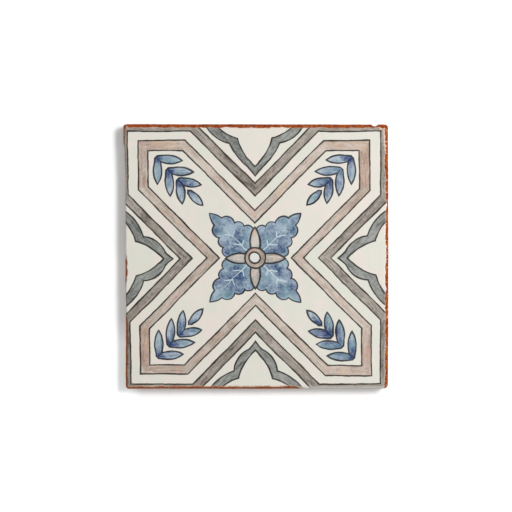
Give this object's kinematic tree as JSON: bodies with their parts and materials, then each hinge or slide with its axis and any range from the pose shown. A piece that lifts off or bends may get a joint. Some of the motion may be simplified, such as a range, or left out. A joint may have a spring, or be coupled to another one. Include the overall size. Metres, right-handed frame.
{
  "type": "glazed terracotta tile",
  "caption": "Square terracotta tile with a raised cream glaze painted with nested bands, leaf sprays and a central four-leaf rosette.",
  "frame": {"origin": "middle of the flat back, directly under the middle of the tile's bounding box", "axes": "+Z out of the glazed face, +X to the right of the painted face, +Y to its top edge"},
  "size_m": [0.1998, 0.2004, 0.012],
  "materials": {
    "glaze": "satin",
    "bisque": "matte"
  },
  "bodies": {
    "root": {"tile": "glaze"}
  },
  "joints": []
}
